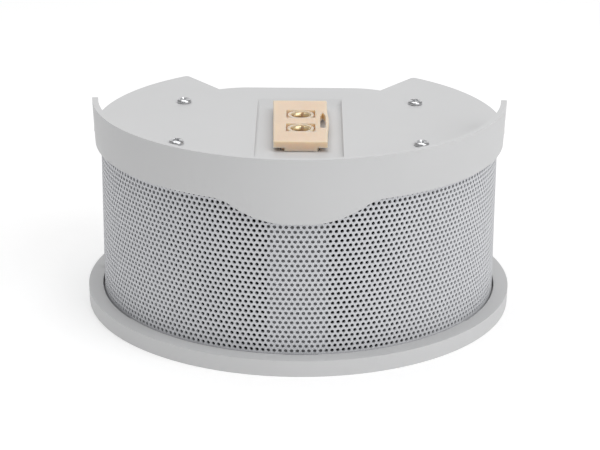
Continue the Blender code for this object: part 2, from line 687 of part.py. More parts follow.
def baffle(side, sign, frame):
    low, high = FLOOR_TOP + GAP - DRIVER_Z, SEAL_TOP - DRIVER_Z
    outline = [(-BAFFLE_HALF, low), (BAFFLE_HALF, low), (BAFFLE_HALF, high), (-BAFFLE_HALF, high)]
    holes = [arc(CUTOUT, 0.0, 345.0, 15.0)]
    holes += [arc(TAP, 0.0, 300.0, 60.0, at) for at in flange_corners()]
    board = flat("baffle_" + side, [outline, *holes], -BOARD, 0.0, BLACK_PLASTIC, frame)
    x, y = sign * POST_FRONT[0], POST_FRONT[1]
    across = frame.matrix_world.col[0].xy.dot((x, y))
    for end, foot, head in (("top", BOSS_TOP_FOOT, SEAL_TOP),
                            ("bottom", POST_LOW, BOSS_BOTTOM_HEAD)):
        boss = rod(f"baffle_boss_{side}_{end}", POST, foot, head, 12, at=(x, y))
        web = box(f"baffle_web_{side}_{end}",
                  (across - WEB_HALF, foot + SEAT - DRIVER_Z, WEB_DEPTH[0]),
                  (across + WEB_HALF, head - SEAT - DRIVER_Z, WEB_DEPTH[1]), parent=frame)
        pilot = rod(f"baffle_pilot_{side}_{end}", PILOT, foot - 2 * MM, head + 2 * MM, 12,
                    at=(x, y))
        for step, other in (("UNION", web), ("UNION", boss), ("DIFFERENCE", pilot)):
            combine(board, other, step)
    return board


def basket(side, frame):
    outline = rounded_rectangle(FLANGE_HALF, FLANGE_HALF, FLANGE_CORNER)
    flange = flat("basket_" + side, [outline, arc(BASKET_MOUTH, 0.0, 345.0, 15.0)],
                  GAP, FLANGE_THICK, STEEL, frame)
    profile = [(r * MM, z * MM) for r, z in (
        (22.0, 1.0), (22.0, 0.0), (17.8, -9.6), (16.5, -14.2), (9.5, -14.2), (9.5, -13.0),
        (14.6, -13.0), (14.6, -9.3), (16.6, -9.3), (20.8, 0.2), (20.8, 1.0))]
    bowl = turned("basket_bowl_" + side, profile, 24, parent=frame, closed=True)
    combine(flange, bowl, "UNION")
    for i in range(2):
        window = box(f"basket_window_{side}_{i}", (-30 * MM, -6 * MM, -8.2 * MM),
                     (30 * MM, 6 * MM, -2.2 * MM), parent=frame)
        window.rotation_euler.z = math.pi * (0.25 + 0.5 * i)
        combine(flange, window)
    for i, at in enumerate(flange_corners()):
        combine(flange, rod(f"flange_hole_{side}_{i}", 1.6 * MM, -2 * MM, 4 * MM, 8, at=at,
                            parent=frame))
    return smooth(flange)


def driver_screws(side, frame):
    for i, (x, y) in enumerate(flange_corners()):
        place = frame.matrix_world @ Matrix.Translation((x, y, FLANGE_THICK + GAP))
        pan_screw(f"driver_screw_{side}_{i + 1}", 2.3 * MM, 1.5 * MM, 1.2 * MM, 7 * MM, place,
                  8, BLACK_PLASTIC)


def motor(side, frame):
    front, washer_back = -14.5 * MM, -17.5 * MM
    magnet_back, back = -25.8 * MM, -29.1 * MM
    ring("front_washer_" + side, WASHER, WASHER_BORE, washer_back, front, 20, STEEL, frame)
    ring("magnet_" + side, MAGNET, MAGNET_BORE, magnet_back, washer_back - GAP, 20, FERRITE, frame)
    plate = magnet_back - GAP
    profile = [(0.0, front), (POLE, front), (POLE, plate), (WASHER, plate), (WASHER, back),
               (0.0, back)]
    turned("pole_yoke_" + side, profile, 20, STEEL, frame)


def soft_parts(side, frame):
    """The roll surround and the corrugated spider, which hold the diaphragm."""
    top = [(r * MM, z * MM) for r, z in ((24.7, 2.2), (24.7, 1.8), (22.4, 1.8))]
    roll = roll_points(ROLL_IN, 0.0, 180.0)
    over = roll_points(ROLL_OUT, 180.0, 0.0)
    profile = top + roll + [(19.05 * MM, 1.8 * MM), (19.05 * MM, 2.2 * MM)] + over[1:-1]
    turned("surround_" + side, profile, 24, RUBBER, frame, closed=True)
    under, above = [], []
    for i in range(7):
        radius = (8.6 + 5.4 * i / 6) * MM
        low = SPIDER_Z + SPIDER_WAVE * math.sin(math.pi * i / 2)
        under.append((radius, low))
        above.append((radius, low + SPIDER_THICK))
    top, (inner, outer) = SPIDER_Z + SPIDER_THICK, (7.3 * MM, 16.2 * MM)
    profile = [(outer, top), (outer, SPIDER_Z), *reversed(under), (inner, SPIDER_Z), (inner, top),
               *above]
    turned("spider_" + side, profile, 20, SPIDER_CLOTH, frame, closed=True)


def roll_points(roll, start, end, steps=4):
    """An arc of the surround's half roll."""
    angles = [math.radians(start + (end - start) * i / steps) for i in range(steps + 1)]
    return [(ROLL_RADIUS + roll * math.cos(a), ROLL_HEIGHT + roll * math.sin(a)) for a in angles]


def diaphragm(side, frame):
    """What moves: the cone, its dust cap and the voice coil."""
    neck, rim, thick = (7.2 * MM, -4.5 * MM), (18.7 * MM, 1.9 * MM), 0.6 * MM
    profile = [rim, (rim[0], rim[1] - thick), (neck[0], neck[1] - thick), neck]
    turned("cone_" + side, profile, 24, PAPER, frame, closed=True)
    bow, rise, edge = 1.15, 2.6 * MM, (8.5 * MM, -2.9 * MM)
    dome = [(edge[0] * math.sin(t) / math.sin(bow),
             edge[1] + rise * (math.cos(t) - math.cos(bow)) / (1 - math.cos(bow)))
            for t in (bow * i / 4 for i in range(5))]
    shell = dome + [(r, z - 0.5 * MM) for r, z in reversed(dome)]
    turned("dust_cap_" + side, shell, 18, PAPER, frame)
    coil = [(r * MM, z * MM) for r, z in (
        (6.85, -4.9), (6.85, -13.5), (7.1, -13.5), (7.1, -18.5), (6.85, -18.5),
        (6.85, -20.0), (6.55, -20.0), (6.55, -4.9))]
    turned("voice_coil_" + side, coil, 20, COPPER, frame, closed=True)


def terminal_tag(side, sign, frame):
    inner, outer = sign * 19.0 * MM, sign * 20.4 * MM
    box("terminal_tag_" + side, (inner, -4.5 * MM, -14 * MM), (outer, 4.5 * MM, -8 * MM),
        BLACK_PLASTIC, frame)


def drivers():
    frames = {}
    for side, sign in SIDES.items():
        frame = driver_frame(side, sign)
        bpy.context.view_layer.update()
        baffle(side, sign, frame)
        basket(side, frame)
        motor(side, frame)
        soft_parts(side, frame)
        diaphragm(side, frame)
        terminal_tag(side, sign, frame)
        driver_screws(side, frame)
        frames[side] = frame
    return frames


# ---------------------------------------------------------------- electronics

def electronics():
    box("circuit_board", (-BOARD_HALF, BOARD_FRONT, BOARD_Z[0]),
        (BOARD_HALF, BOARD_FRONT + BOARD_THICK, BOARD_Z[1]), BOARD_GREEN)
    front = BOARD_FRONT - GAP
    chip = box("amplifier_chip", (-CHIP_HALF, front - CHIP_THICK, CHIP_Z[0]),
               (CHIP_HALF, front, CHIP_Z[1]), BLACK_PLASTIC)
    bevel(chip, 0.3 * MM, 1)
    header = box("lead_header", (-HEADER_HALF, HEADER_FRONT, HEADER_Z[0]),
                 (HEADER_HALF, front, HEADER_Z[1]), BLACK_PLASTIC)
    bevel(header, 0.4 * MM, 1)
    toward = Matrix.Rotation(math.pi / 2, 4, "X")
    for name, at, radius, length, paint in (
            ("capacitor", (17 * MM, 24 * MM), 5 * MM, 15 * MM, BLACK_LEAD),
            ("inductor", (-17 * MM, 26 * MM), 6 * MM, 6 * MM, COPPER)):
        can = rod(name, radius, 0.0, length, 24, paint)
        bevel(can, 0.5 * MM, 1)
        can.matrix_world = Matrix.Translation((at[0], front, at[1])) @ toward


def leads(frames):
    start = TAIL_LOW - GAP
    plug_runs = (
        ("power_lead_plus", "rear", RED_LEAD,
         ((-0.8, 6.8, 48), (-3, 13, 46), (-3.5, 20, 44.5), (-3.5, 25.6, 44))),
        ("power_lead_minus", "front", BLACK_LEAD,
         ((2, -9.5, 48), (3, 0, 45), (2.5, 11, 44), (1.8, 20, 44), (1.5, 25.6, 44))))
    for name, place, paint, points in plug_runs:
        route = [(SOCKET_X, SOCKET_Y[place], start), (SOCKET_X, SOCKET_Y[place], start - 2 * MM)]
        route += [tuple(value * MM for value in point) for point in points]
        tube(name, route, LEAD, paint)
    for side, sign in SIDES.items():
        tag = frames[side].matrix_world @ Vector((sign * 21.9 * MM, 0.0, -11 * MM))
        route = [tag] + [Vector((sign * x * MM, y * MM, z * MM))
                         for x, y, z in ((46, 0, 31), (37, 13, 31), (21, 19, 39))]
        end_x = 10 * sign * MM
        route += [Vector((end_x, 22.5 * MM, 43.7 * MM)), Vector((end_x, 25.4 * MM, 43.7 * MM))]
        tube("driver_lead_" + side, route, DRIVER_LEAD, BLACK_LEAD)


def build():
    base_plate()
    grille()
    acoustic_cloths()
    front_pillar()
    rear_housing()
    cap_seal()
    top_cap()
    connector()
    post_screws()
    electronics()
    leads(drivers())


build()
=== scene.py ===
"""The looks of the alarm siren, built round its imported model. Metres, -Y towards the front."""

import math

import bmesh
import bpy
from mathutils import Matrix, Vector


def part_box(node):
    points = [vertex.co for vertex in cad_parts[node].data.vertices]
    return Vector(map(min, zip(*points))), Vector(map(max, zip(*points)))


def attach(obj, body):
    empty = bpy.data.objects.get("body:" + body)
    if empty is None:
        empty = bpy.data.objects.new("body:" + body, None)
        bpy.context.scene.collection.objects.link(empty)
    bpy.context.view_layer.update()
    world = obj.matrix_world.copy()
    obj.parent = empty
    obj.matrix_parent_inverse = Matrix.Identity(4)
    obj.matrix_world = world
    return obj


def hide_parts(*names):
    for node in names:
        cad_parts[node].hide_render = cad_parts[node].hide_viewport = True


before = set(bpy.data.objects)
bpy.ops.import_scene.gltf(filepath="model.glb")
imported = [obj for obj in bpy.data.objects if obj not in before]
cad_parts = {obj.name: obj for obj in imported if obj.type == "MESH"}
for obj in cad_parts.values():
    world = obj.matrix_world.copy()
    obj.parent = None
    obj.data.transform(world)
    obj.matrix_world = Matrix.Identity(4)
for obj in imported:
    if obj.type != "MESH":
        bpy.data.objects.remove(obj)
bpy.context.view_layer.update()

MM = 0.001

# ---------------------------------------------------------------- sizes, most from the frame


def box_of(node):
    low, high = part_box(node)
    return Vector(low), Vector(high)


BASE_RADIUS = box_of("base_plate")[1].x
BASE_TOP = box_of("base_plate")[1].z
CAP_RADIUS = 76.4 * MM
CAP_DRAFT, CAP_DRAFT_LEVEL = 0.05, 69.3 * MM
BASE_DRAFT = 0.026
SKIRT_INSIDE = 74.6 * MM
LIP_TOP = box_of("top_cap")[1].z
SCALLOP_LOW = box_of("top_cap")[0].z
GRILLE_RADIUS = 73.9 * MM
SHEET_LOW, SHEET_TOP = box_of("grille")[0].z, box_of("grille")[1].z
SHEET = 0.8 * MM
GRILLE_END = 123.5
WALL_LOW, WALL_TOP = box_of("rear_housing")[0].z + 0.6 * MM, box_of("cap_seal")[0].z - 0.3 * MM
HOUSING_START = 124.5
HOUSING_WALL = 2.0 * MM
POST_LOW = box_of("rear_housing")[0].z
SEAL_TOP = box_of("cap_seal")[1].z
FLOOR_TOP = 2.5 * MM
PLATE_LOW = 65.6 * MM
PLATE_TOP = 67.85 * MM
SKIRT_LOW = 63.0 * MM
LIP_THICK = 2.2 * MM
LIP_END = 85.7
NOTCH_ANGLE = 143.8
NOTCH_BACK_Y = 45.9 * MM
NOTCH_FLAT = 20.0 * MM
NOTCH_BEND = 25.0 * MM
SCALLOP_FLAT = 2.8 * MM
SCALLOP_BELLY = 39.0 * MM
SCALLOP_SHOULDER = 12.6 * MM
SCALLOP_SLOPE = 32.0
CHANNEL_HALF = 16.1 * MM
CHANNEL_FRONT, CHANNEL_BACK = -71.5 * MM, 28.0 * MM
CHANNEL_SLOPE = math.radians(30.0)
CHANNEL_FLOOR = 66.2 * MM
POST, BOSS, HEAD_HOLE = 4.0 * MM, 3.7 * MM, 3.1 * MM
POST_REAR = (44.4 * MM, 25.3 * MM)
POST_FRONT = (44.5 * MM, -25.5 * MM)
BASE_HOLLOW = (70.3 * MM, 3.0 * MM)
DRAIN_RADIUS, DRAIN_WIDTH, DRAIN_DEPTH = 74.6 * MM, 3.0 * MM, 3.0 * MM
DRAIN_ENDS = (55.5, 120.0)
FRONT_NOTCH = (1.2 * MM, 1.5 * MM, -3.8, 5.6)
GROOVE_DEPTH = 2.0 * MM
PAD_HALF, PAD_Y, PAD_LOW = 20.0 * MM, (-62.0 * MM, 34.0 * MM), 64.1 * MM
HOUSING_INSET = 2.5 * MM
RIB_FOOT, RIB_HALF = (32.6 * MM, 38.2 * MM), 1.0 * MM
GUIDE_X, GUIDE_Y, GUIDE_TOP = (24.5 * MM, 28.0 * MM), (31.0 * MM, 41.5 * MM), 56.0 * MM
SLOT_HALF, SLOT_Y, SLOT_LOW = 26.5 * MM, (32.6 * MM, 34.8 * MM), 9.7 * MM
PILOTS = ((55.0 * MM, 70.0 * MM), (1.0 * MM, 14.0 * MM))
GAP, SCREW_PLAY, PILOT_PLAY = 0.3 * MM, 0.4 * MM, 0.3 * MM
SIDES = {"left": -1, "right": 1}

# Perforation: staggered round holes in horizontal rows.
HOLE_RADIUS = 0.68 * MM
HOLE_PITCH = 2.045 * MM
ROW_PITCH = 1.78 * MM
FIRST_ROW = 7.3 * MM
ROWS = 32
FIELD_END = 118.0

# The connector in the channel.
PLUG_X = 0.35 * MM
HEAD_HALF = 10.05 * MM
HEAD_LEAN = 0.4 * MM
HEAD_FRONT, HEAD_BACK = -29.4 * MM, 21.0 * MM
HEAD_LOW = 67.76 * MM
HEAD_TOP = box_of("connector_housing")[1].z
PLUG_BODY_HALF = 6.9 * MM
PLUG_BODY_LOW = box_of("connector_housing")[0].z
PLUG_BODY_Y = (-27.0 * MM, 18.4 * MM)
TONGUE_LOW = 66.4 * MM
SOCKET_Y = {"rear": 3.8 * MM, "front": -12.8 * MM}
SOCKET_X = PLUG_X + 0.15 * MM
SOCKET_BORE, SOCKET_FLOOR, TAIL_HOLE = 3.9 * MM, 60.5 * MM, 1.4 * MM
POCKET_HALF = (5.4 * MM, 4.75 * MM)
POCKET_DEPTH = 2.2 * MM
COLLAR_RADIUS, COLLAR_DEPTH = 4.9 * MM, 0.25 * MM
FINGER_TURN = -12.0
LATCH_X, LATCH_HALF = PLUG_X + 8.4 * MM, 1.0 * MM
LATCH_Y = (-12.2 * MM, 1.5 * MM, 5.6 * MM)
LATCH_BULGE = 0.6 * MM
BULGE_Y = (-16.1 * MM, 6.1 * MM)
TONGUE_X = (-5.25 * MM, 6.65 * MM)
CONTACT_RADIUS = 3.55 * MM
CONTACT_BORE = 3.05 * MM
TAIL_LOW = box_of("contact_rear")[0].z

# Screws.
SCREW_HEAD = 2.75 * MM
SCREW_HEIGHT = 1.4 * MM
SHANK = 1.4 * MM
SCREW_LENGTH = 10.0 * MM
SCREW_SEAT = box_of("cap_screw_rear_left")[1].z - SCREW_HEIGHT
BASE_SCREW_SEAT = box_of("base_screw_rear_left")[0].z + SCREW_HEIGHT


# ---------------------------------------------------------------- material nodes

def tree_of(name):
    made = bpy.data.materials.new(name)
    made.use_nodes = True
    nodes = made.node_tree.nodes
    return made, nodes, made.node_tree.links, nodes["Principled BSDF"]


def noise(nodes, links, scale, detail=3.0, stretch=(1.0, 1.0, 1.0)):
    """Noise over the object's own metres; its factor."""
    where = nodes.new("ShaderNodeTexCoord")
    mapping = nodes.new("ShaderNodeMapping")
    mapping.inputs["Scale"].default_value = stretch
    texture = nodes.new("ShaderNodeTexNoise")
    texture.inputs["Scale"].default_value = scale
    texture.inputs["Detail"].default_value = detail
    links.new(where.outputs["Object"], mapping.inputs["Vector"])
    links.new(mapping.outputs["Vector"], texture.inputs["Vector"])
    return texture.outputs["Fac"]


def spread(nodes, links, factor, low, high):
    """Map a noise factor's useful range to a range of values."""
    remap = nodes.new("ShaderNodeMapRange")
    remap.inputs["From Min"].default_value = 0.3
    remap.inputs["From Max"].default_value = 0.7
    remap.inputs["To Min"].default_value = low
    remap.inputs["To Max"].default_value = high
    links.new(factor, remap.inputs["Value"])
    return remap.outputs["Result"]


def tint(nodes, links, factor, first, second):
    mix = nodes.new("ShaderNodeMix")
    mix.data_type = "RGBA"
    mix.inputs["A"].default_value = (*first, 1.0)
    mix.inputs["B"].default_value = (*second, 1.0)
    links.new(factor, mix.inputs["Factor"])
    return mix.outputs["Result"]


def bump(nodes, links, shader, height, distance, strength=1.0):
    step = nodes.new("ShaderNodeBump")
    step.inputs["Distance"].default_value = distance
    step.inputs["Strength"].default_value = strength
    links.new(height, step.inputs["Height"])
    links.new(step.outputs["Normal"], shader.inputs["Normal"])


def surface(name, colour, rough, grain, depth, vary=0.03, patch=40.0, metallic=0.0, swing=0.06,
            stretch=(1.0, 1.0, 1.0), sheen=0.0, milky=0.0):
    """A solid material with a fine grain, and colour and gloss that drift over the part."""
    made, nodes, links, shader = tree_of(name)
    drift = noise(nodes, links, patch)
    dark = tuple(c * (1.0 - vary) for c in colour)
    light = tuple(min(1.0, c * (1.0 + vary)) for c in colour)
    links.new(tint(nodes, links, spread(nodes, links, drift, 0.0, 1.0), dark, light),
              shader.inputs["Base Color"])
    fine = noise(nodes, links, grain, 4.0, stretch)
    links.new(spread(nodes, links, fine, rough - swing, rough + swing),
              shader.inputs["Roughness"])
    shader.inputs["Metallic"].default_value = metallic
    shader.inputs["Sheen Weight"].default_value = sheen
    shader.inputs["Subsurface Weight"].default_value = milky
    shader.inputs["Subsurface Radius"].default_value = (1.0, 0.85, 0.6)
    shader.inputs["Subsurface Scale"].default_value = 4.0 * MM
    bump(nodes, links, shader, fine, depth)
    return made


def woven(name, first, second, pitch, depth, rough=0.9):
    """Cloth: two crossed sets of threads."""
    made, nodes, links, shader = tree_of(name)
    where = nodes.new("ShaderNodeTexCoord")
    waves = []
    for direction in ("X", "Z"):
        wave = nodes.new("ShaderNodeTexWave")
        wave.bands_direction = direction
        wave.inputs["Scale"].default_value = 1.0 / pitch / 3.0
        wave.inputs["Distortion"].default_value = 0.6
        links.new(where.outputs["Object"], wave.inputs["Vector"])
        waves.append(wave.outputs["Fac"])
    cross = nodes.new("ShaderNodeMath")
    cross.operation = "MULTIPLY"
    links.new(waves[0], cross.inputs[0])
    links.new(waves[1], cross.inputs[1])
    links.new(tint(nodes, links, cross.outputs["Value"], first, second),
              shader.inputs["Base Color"])
    shader.inputs["Roughness"].default_value = rough
    shader.inputs["Sheen Weight"].default_value = 0.2
    bump(nodes, links, shader, cross.outputs["Value"], depth)
    return made


def circuit(name):
    """Solder mask over copper tracks."""
    made, nodes, links, shader = tree_of(name)
    where = nodes.new("ShaderNodeTexCoord")
    brick = nodes.new("ShaderNodeTexBrick")
    brick.inputs["Scale"].default_value = 120.0
    brick.inputs["Color1"].default_value = (0.010, 0.085, 0.035, 1.0)
    brick.inputs["Color2"].default_value = (0.012, 0.105, 0.045, 1.0)
    brick.inputs["Mortar"].default_value = (0.035, 0.190, 0.080, 1.0)
    brick.inputs["Mortar Size"].default_value = 0.06
    turn = nodes.new("ShaderNodeMapping")
    turn.inputs["Rotation"].default_value = (math.pi / 2, 0.0, 0.0)
    links.new(where.outputs["Object"], turn.inputs["Vector"])
    links.new(turn.outputs["Vector"], brick.inputs["Vector"])
    links.new(brick.outputs["Color"], shader.inputs["Base Color"])
    shader.inputs["Roughness"].default_value = 0.35
    bump(nodes, links, shader, brick.outputs["Fac"], 0.03 * MM)
    return made


def make_materials():
    return {
        "grey_plastic": surface("grey_plastic", (0.610, 0.612, 0.616), 0.50, 5200.0, 0.012 * MM,
                                0.012, 25.0),
        "pale_plastic": surface("pale_plastic", (0.560, 0.562, 0.570), 0.55, 5200.0, 0.012 * MM,
                                0.015, 25.0),
        "grey_sheet": surface("grey_sheet", (0.625, 0.632, 0.655), 0.45, 3200.0, 0.010 * MM,
                              0.015, 60.0),
        "beige_plastic": surface("beige_plastic", (0.785, 0.605, 0.450), 0.48, 4200.0,
                                 0.008 * MM, 0.025, 150.0, milky=0.9),
        "black_plastic": surface("black_plastic", (0.022, 0.022, 0.023), 0.55, 4200.0,
                                 0.015 * MM, 0.15, 60.0),
        "black_cloth": woven("black_cloth", (0.006, 0.006, 0.007), (0.022, 0.022, 0.024),
                             0.35 * MM, 0.05 * MM),
        "rubber": surface("rubber", (0.028, 0.028, 0.028), 0.72, 2600.0, 0.02 * MM, 0.12, 90.0),
        "paper": surface("paper", (0.045, 0.044, 0.043), 0.9, 2200.0, 0.05 * MM, 0.25, 500.0,
                         sheen=0.15),
        "spider_cloth": woven("spider_cloth", (0.30, 0.17, 0.05), (0.52, 0.33, 0.13),
                              0.5 * MM, 0.06 * MM),
        "gold": surface("gold", (0.900, 0.730, 0.470), 0.36, 2500.0, 0.006 * MM, 0.05, 300.0,
                        1.0, 0.07),
        "steel": surface("steel", (0.620, 0.625, 0.635), 0.26, 2000.0, 0.006 * MM, 0.05, 200.0,
                         1.0, 0.08),
        "copper": surface("copper", (0.620, 0.250, 0.110), 0.30, 1500.0, 0.04 * MM, 0.12, 400.0,
                          1.0, stretch=(1.0, 1.0, 6.0)),
        "ferrite": surface("ferrite", (0.045, 0.045, 0.048), 0.62, 1800.0, 0.03 * MM, 0.2,
                           120.0),
        "board_green": circuit("board_green"),
        "red_lead": surface("red_lead", (0.420, 0.015, 0.012), 0.38, 1400.0, 0.01 * MM, 0.06,
                            150.0),
        "black_lead": surface("black_lead", (0.018, 0.018, 0.019), 0.38, 1400.0, 0.01 * MM, 0.1,
                              150.0),
    }


# ---------------------------------------------------------------- shapes

def linked(name, mesh):
    item = bpy.data.objects.new(name, mesh)
    bpy.context.scene.collection.objects.link(item)
    return item


def evaluated_mesh(item):
    graph = bpy.context.evaluated_depsgraph_get()
    mesh = bpy.data.meshes.new_from_object(item.evaluated_get(graph), depsgraph=graph)
    mesh.transform(item.matrix_world)
    return mesh


def flat(name, outlines, low, high):
    """Closed outlines in XY, the later ones holes, as a solid from low to high."""
    curve = bpy.data.curves.new(name, "CURVE")
    curve.dimensions = "2D"
    curve.fill_mode = "BOTH"
    curve.extrude = (high - low) / 2
    for points in outlines:
        spline = curve.splines.new("POLY")
        spline.points.add(len(points) - 1)
        for point, (x, y) in zip(spline.points, points):
            point.co = (x, y, 0.0, 1.0)
        spline.use_cyclic_u = True
    item = linked(name + "_curve", curve)
    item.matrix_world = Matrix.Translation((0.0, 0.0, (low + high) / 2))
    mesh = evaluated_mesh(item)
    bpy.data.objects.remove(item)
    work = bmesh.new()
    work.from_mesh(mesh)
    bmesh.ops.remove_doubles(work, verts=work.verts, dist=0.001 * MM)
    bmesh.ops.recalc_face_normals(work, faces=work.faces)
    work.to_mesh(mesh)
    work.free()
    return linked(name, mesh)


def turned(name, profile, steps, closed=False):
    """A profile of (radius, height) points turned about Z."""
    mesh = bpy.data.meshes.new(name)
    edges = [(i, i + 1) for i in range(len(profile) - 1)]
    if closed:
        edges.append((len(profile) - 1, 0))
    mesh.from_pydata([(r, 0.0, z) for r, z in profile], edges, [])
    item = linked(name, mesh)
    screw = item.modifiers.new("turn", "SCREW")
    screw.steps = screw.render_steps = steps
    screw.use_merge_vertices = True
    screw.merge_threshold = 0.005 * MM
    item.data = evaluated_mesh(item)
    item.modifiers.clear()
    return item


def rod(name, radius, low, high, steps, at=(0.0, 0.0)):
    profile = [(0.0, high), (radius, high), (radius, low), (0.0, low)]
    item = turned(name, profile, steps)
    item.data.transform(Matrix.Translation((at[0], at[1], 0.0)))
    return item


def box(name, corner, opposite):
    work = bmesh.new()
    bmesh.ops.create_cube(work, size=1.0)
    low = Vector(map(min, corner, opposite))
    high = Vector(map(max, corner, opposite))
    bmesh.ops.scale(work, verts=work.verts, vec=high - low)
    bmesh.ops.translate(work, verts=work.verts, vec=(low + high) / 2)
    mesh = bpy.data.meshes.new(name)
    work.to_mesh(mesh)
    work.free()
    return linked(name, mesh)


def combine(item, other, operation="DIFFERENCE"):
    """Cut or join another object, which is used up."""
    step = item.modifiers.new("step", "BOOLEAN")
    step.operation = operation
    step.solver = "EXACT"
    step.object = other
    item.data = evaluated_mesh(item)
    item.modifiers.clear()
    item.matrix_world = Matrix.Identity(4)
    bpy.data.objects.remove(other)
    return item


def draft(item, slope, level, radius):
    """Open a round wall outwards with height: it keeps its radius at the level."""
    for vertex in item.data.vertices:
        if vertex.co.xy.length > 0.9 * radius:
            share = 1.0 + slope * (vertex.co.z - level) / radius
            vertex.co.x *= share
            vertex.co.y *= share
    return item


def round_edges(item, width, segments, chosen):
    """Round the edges that chosen(edge) picks."""
    work = bmesh.new()
    work.from_mesh(item.data)
    bmesh.ops.bevel(work, geom=[edge for edge in work.edges if chosen(edge)], offset=width,
                    segments=segments, profile=0.5, affect="EDGES")
    work.to_mesh(item.data)
    work.free()
    return item


def soften(item, width, segments=2, angle=40.0):
    """Round the sharp edges and keep the flats flat in the shading."""
    item.data.shade_smooth()
    step = item.modifiers.new("edges", "BEVEL")
    step.width = width
    step.segments = segments
    step.limit_method = "ANGLE"
    step.angle_limit = math.radians(angle)
    step.harden_normals = True
    step.use_clamp_overlap = True
    item.data = evaluated_mesh(item)
    item.modifiers.clear()
    return item


def smooth(item, angle=32.0):
    """Merge what is flat, then shade so that big faces stay flat beside small ones."""
    work = bmesh.new()
    work.from_mesh(item.data)
    bmesh.ops.dissolve_limit(work, angle_limit=math.radians(0.2), verts=work.verts,
                             edges=work.edges)
    work.to_mesh(item.data)
    work.free()
    item.data.shade_smooth()
    item.data.set_sharp_from_angle(angle=math.radians(angle))
    step = item.modifiers.new("normals", "WEIGHTED_NORMAL")
    step.keep_sharp = True
    item.data = evaluated_mesh(item)
    item.modifiers.clear()
    return item


def piece(item, slot, *nodes, body="housing"):
    """A finished piece: its material, its slot, the nodes it stands for and its body."""
    item.data.materials.clear()
    item.data.materials.append(MATERIALS[slot])
    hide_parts(*nodes)
    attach(item, body)
    return item


# ---------------------------------------------------------------- outlines

def polar(radius, degrees, centre=(0.0, 0.0)):
    angle = math.radians(degrees)
    return centre[0] + radius * math.sin(angle), centre[1] - radius * math.cos(angle)


def arc(radius, start, end, step=1.5, centre=(0.0, 0.0)):
    count = max(1, math.ceil(abs(end - start) / step))
    return [polar(radius, start + (end - start) * i / count, centre) for i in range(count + 1)]


def wing_path(radius, inset, start, corner_radius=1.5 * MM):
    """The right half of the drum's plan from an angle round to the notch's flat."""
    edge = Vector(polar(1.0, NOTCH_ANGLE))
    inward = Vector((edge.y, -edge.x))
    foot = inward * inset
    bend = Vector((NOTCH_FLAT, NOTCH_BACK_Y - NOTCH_BEND))
    bend_radius = NOTCH_BEND - inset
    reach = edge.dot(bend)
    inner = reach + math.sqrt(reach ** 2 - (foot - bend).length_squared + bend_radius ** 2)
    corner = foot + edge * math.sqrt(radius ** 2 - inset ** 2)
    root = foot + edge * inner
    end = math.degrees(math.atan2(corner.x, -corner.y))
    root_angle = math.degrees(math.atan2(root.x - bend.x, bend.y - root.y))
    back_off = math.degrees(corner_radius / radius)
    side = arc(radius, start, end - back_off)
    turn_start = math.degrees(math.atan2(corner.x, -corner.y)) - 2.0
    centre = corner - edge * corner_radius + inward * corner_radius
    tip = [polar(corner_radius, turn_start + 92.0 * i / 6, tuple(centre)) for i in range(7)]
    return side[:-1] + tip + arc(bend_radius, root_angle, 180.0, 4.0, tuple(bend))


def mirrored(points):
    return [(-x, y) for x, y in reversed(points)]


def drum_outline(radius, inset, corner_radius=1.5 * MM):
    half = wing_path(radius, inset, 0.0, corner_radius)
    return half + mirrored(half)[:-1]


def strip(radius, thick, start, end):
    return arc(radius, start, end) + arc(radius - thick, end, start)


def round_slot(outer, inner, start, end):
    """A curved slot with round ends."""
    middle, half = (outer + inner) / 2, (outer - inner) / 2
    far = arc(half, end, end + 180.0, 15.0, polar(middle, end))
    near = arc(half, start + 180.0, start + 360.0, 15.0, polar(middle, start))
    return arc(outer, start, end)[:-1] + far + arc(inner, end, start)[1:-1] + near[:-1]


def scallop_outline():
    slope = math.radians(SCALLOP_SLOPE)
    half = [(SCALLOP_FLAT, SCALLOP_LOW)]
    for i in range(1, 17):
        t = slope * i / 16
        half.append((SCALLOP_FLAT + SCALLOP_BELLY * math.sin(t),
                     SCALLOP_LOW + SCALLOP_BELLY * (1 - math.cos(t))))
    x, z = half[-1]
    for i in range(1, 9):
        t = slope * (1 - i / 8)
        half.append((x + SCALLOP_SHOULDER * (math.sin(slope) - math.sin(t)),
                     z + SCALLOP_SHOULDER * (math.cos(t) - math.cos(slope))))
    half.append((half[-1][0], SKIRT_LOW + 2 * MM))
    return half + mirrored(half)


def corners():
    """Name and place of the four posts."""
    for side, sign in SIDES.items():
        yield "rear_" + side, (sign * POST_REAR[0], POST_REAR[1])
        yield "front_" + side, (sign * POST_FRONT[0], POST_FRONT[1])


# ---------------------------------------------------------------- the perforated sheet

def hole_rows():
    """Height of each row and the arc lengths of its holes, staggered by half a pitch."""
    span = math.radians(FIELD_END) * GRILLE_RADIUS
    count = int(span / HOLE_PITCH)
    for row in range(ROWS):
        shift = 0.5 if row % 2 else 0.0
        places = range(-count, count if row % 2 else count + 1)
        yield FIRST_ROW + row * ROW_PITCH, [(i + shift) * HOLE_PITCH for i in places]


def corner(ring, degrees):
    """The point at one of the eight corners of a hole's ring."""
    return ring + int(round((degrees - 22.5) / 45.0)) % 8


def hole_rings():
    """The flat pattern's points, and the first point of each hole's ring, row by row."""
    points, rings = [], []
    for z, places in hole_rows():
        row = []
        for along in places:
            row.append(len(points))
            for k in range(8):
                turn = math.radians(22.5 + 45.0 * k)
                points.append((along + HOLE_RADIUS * math.cos(turn),
                               z + HOLE_RADIUS * math.sin(turn)))
        rings.append(row)
    return points, rings


